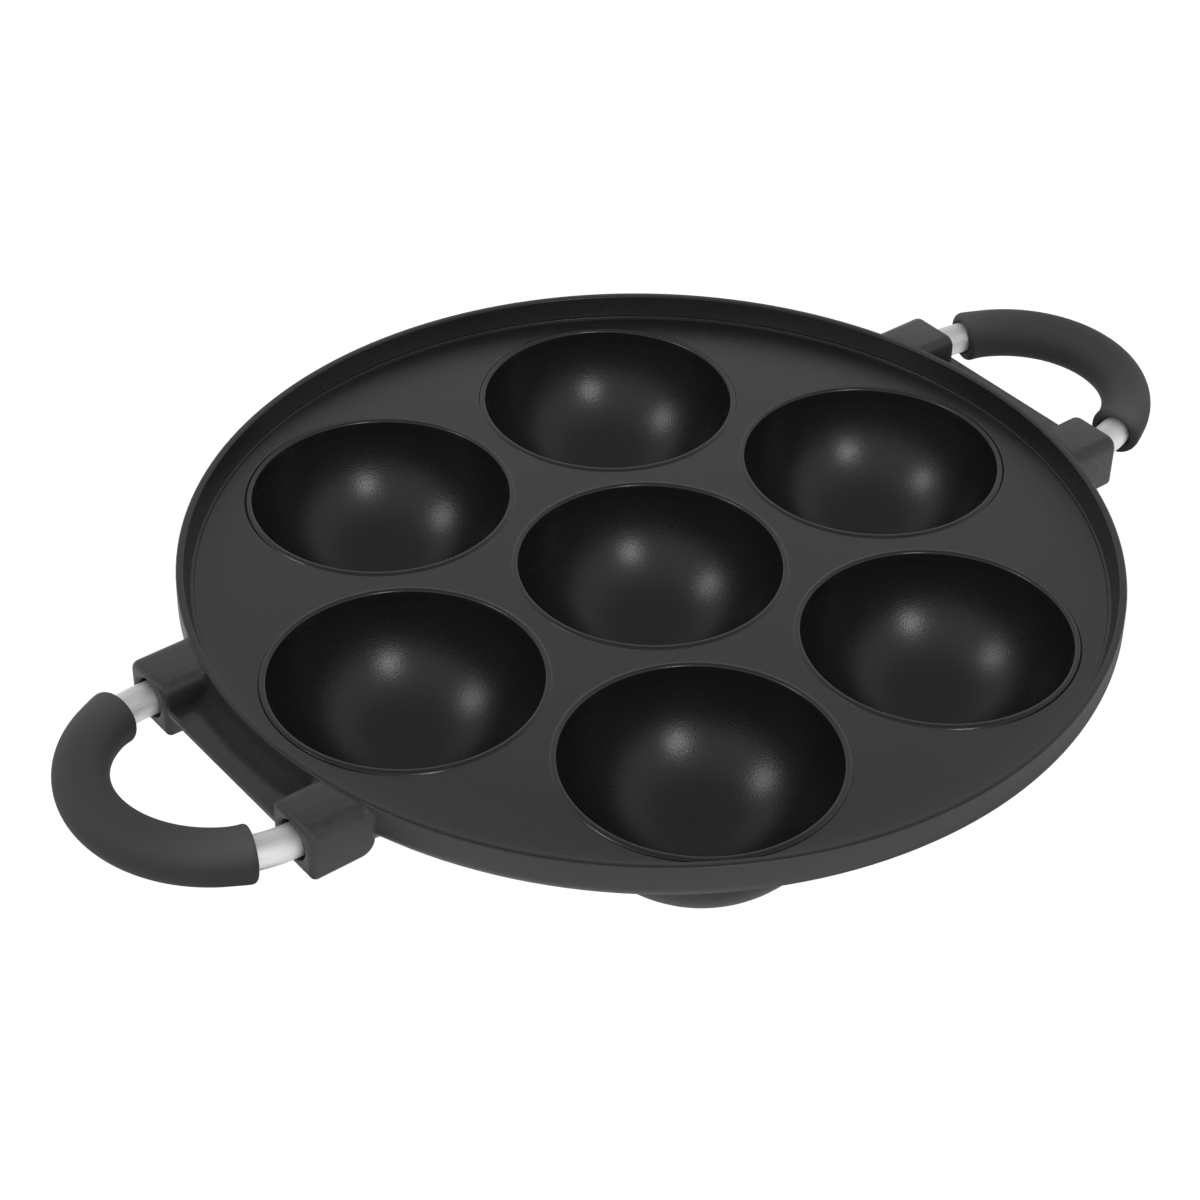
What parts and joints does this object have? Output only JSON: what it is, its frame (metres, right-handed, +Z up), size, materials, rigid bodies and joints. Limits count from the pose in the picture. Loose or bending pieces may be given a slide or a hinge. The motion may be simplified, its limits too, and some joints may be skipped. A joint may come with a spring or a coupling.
{
  "type": "takoyaki pan",
  "caption": "Round cast takoyaki pan with hemispherical cups, a low rim, and two bent steel loop handles with soft grip sleeves.",
  "frame": {"origin": "on the pan's axis, in the plane of the flat pads under the cups, which is the surface the pan stands on", "axes": "+Z up, +X along the line through the two handles, +Y across"},
  "size_m": [0.319, 0.2284, 0.0407],
  "materials": {
    "coated_casting": "satin",
    "rod_steel": "satin",
    "grip_silicone": "matte",
    "screw_steel": "satin"
  },
  "bodies": {
    "root": {"pan_casting": "coated_casting", "handle_rod_right": "rod_steel", "handle_rod_left": "rod_steel", "grip_sleeve_right": "grip_silicone", "grip_sleeve_left": "grip_silicone", "retaining_screw_right_back": "screw_steel", "retaining_screw_right_front": "screw_steel", "retaining_screw_left_back": "screw_steel", "retaining_screw_left_front": "screw_steel"}
  },
  "joints": []
}
